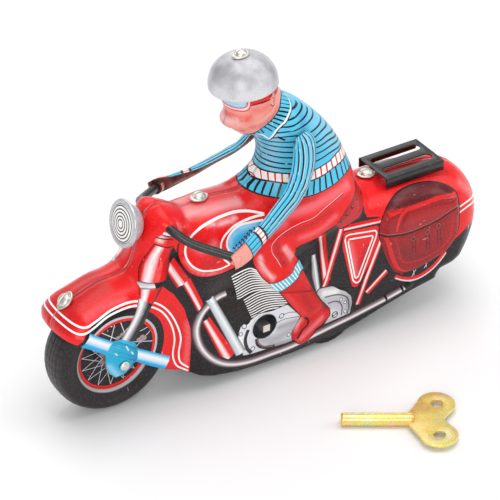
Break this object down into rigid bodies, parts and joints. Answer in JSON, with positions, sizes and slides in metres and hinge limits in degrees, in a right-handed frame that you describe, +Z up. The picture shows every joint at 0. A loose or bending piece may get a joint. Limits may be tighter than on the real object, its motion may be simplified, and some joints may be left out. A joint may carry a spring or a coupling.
{
  "type": "wind-up tin toy",
  "caption": "Lithographed tin motorcycle with a pressed rider, clockwork rear drive, turning front wheel and a loose winding key.",
  "frame": {"origin": "middle of the box round toy and key, on the surface they stand on", "axes": "+Z up; the toy drives towards -X; its left side, with the winding hole, faces -Y"},
  "size_m": [0.1884, 0.1246, 0.1333],
  "materials": {
    "printed_tin": "glossy lithographed tinplate",
    "wheel_tin": "glossy lithographed tinplate",
    "sleeve_tin": "glossy lithographed tinplate",
    "helmet_tin": "satin silver paint with darker sprayed shading",
    "lamp_tin": "satin silver paint",
    "lens_tin": "printed tinplate",
    "black_enamel": "satin black enamel",
    "nickel": "nickel plating",
    "steel": "bare stamped steel",
    "brass": "stamped brass",
    "spring_steel": "blued steel",
    "rubber": "matt black rubber",
    "yellow_zinc": "yellow zinc plating with iridescent patches"
  },
  "bodies": {
    "chassis": {"left_half_shell": "printed_tin", "right_half_shell": "printed_tin", "front_axle_rivet": "nickel", "motor_plate_left": "steel", "motor_plate_right": "steel", "motor_pillar_1": "steel", "motor_pillar_2": "steel", "motor_pillar_3": "steel", "motor_pillar_4": "steel", "mainspring": "spring_steel", "fender_clip": "nickel", "tank_clip": "nickel", "seat_clip": "nickel", "helmet_dome": "helmet_tin", "helmet_clip": "nickel", "headlamp_cup": "lamp_tin", "headlamp_lens": "lens_tin", "luggage_rack": "black_enamel", "rack_tongue": "nickel", "handlebar": "black_enamel", "rider_left_arm": "sleeve_tin", "rider_right_arm": "sleeve_tin"},
    "front_wheel": {"front_wheel_left_half": "wheel_tin", "front_wheel_right_half": "wheel_tin", "front_wheel_hub_tube": "steel"},
    "drive_wheels": {"drive_axle": "steel", "drive_pinion": "brass", "left_drive_wheel": "steel", "left_drive_tyre": "rubber", "right_drive_wheel": "steel", "right_drive_tyre": "rubber"},
    "second_wheel": {"second_arbor": "steel", "second_pinion": "brass", "second_wheel": "brass"},
    "great_wheel": {"great_wheel": "brass", "click_rivet": "steel"},
    "governor": {"governor_arbor": "steel", "governor_pinion": "brass", "star_wheel": "brass"},
    "winding_arbor": {"winding_arbor": "nickel", "ratchet_wheel": "steel"},
    "click": {"click": "steel"},
    "pallet": {"pallet": "steel", "pallet_arbor": "steel"},
    "winding_key": {"winding_key": "yellow_zinc"}
  },
  "joints": [
    {"name": "drive_spin", "type": "hinge", "parent": "chassis", "child": "drive_wheels", "pos_m": [0.0209, 0.0317, 0.0125], "axis": [0, 1, 0], "continuous": true},
    {"name": "front_wheel_spin", "type": "hinge", "parent": "chassis", "child": "front_wheel", "pos_m": [-0.07, 0.0317, 0.0242], "axis": [0, 1, 0], "continuous": true},
    {"name": "second_spin", "type": "hinge", "parent": "chassis", "child": "second_wheel", "pos_m": [0.00737, 0.0317, 0.01615], "axis": [0, 1, 0], "continuous": true},
    {"name": "great_spin", "type": "hinge", "parent": "chassis", "child": "great_wheel", "pos_m": [-0.0102, 0.0317, 0.0209], "axis": [0, 1, 0], "continuous": true},
    {"name": "governor_spin", "type": "hinge", "parent": "chassis", "child": "governor", "pos_m": [0.00396, 0.0317, 0.02901], "axis": [0, 1, 0], "continuous": true},
    {"name": "winding_spin", "type": "hinge", "parent": "chassis", "child": "winding_arbor", "pos_m": [-0.0102, 0.0317, 0.0209], "axis": [0, 1, 0], "continuous": true},
    {"name": "click_pivot", "type": "hinge", "parent": "great_wheel", "child": "click", "pos_m": [-0.0061, 0.0317, 0.028], "axis": [0, 1, 0], "range_deg": [0, 12], "stiffness_Nm_per_rad": 0.002},
    {"name": "pallet_rock", "type": "hinge", "parent": "chassis", "child": "pallet", "pos_m": [0.00396, 0.0317, 0.03741], "axis": [0, 1, 0], "range_deg": [-6, 6]},
    {"name": "key_lift", "type": "slide", "parent": "chassis", "child": "winding_key", "axis": [0, 0, 1], "range_m": [0, 0.06]}
  ],
  "couplings": [
    {"joint": "second_spin", "follows": "drive_spin", "ratio": -0.33333},
    {"joint": "great_spin", "follows": "drive_spin", "ratio": 0.079365},
    {"joint": "governor_spin", "follows": "drive_spin", "ratio": 1.25}
  ]
}
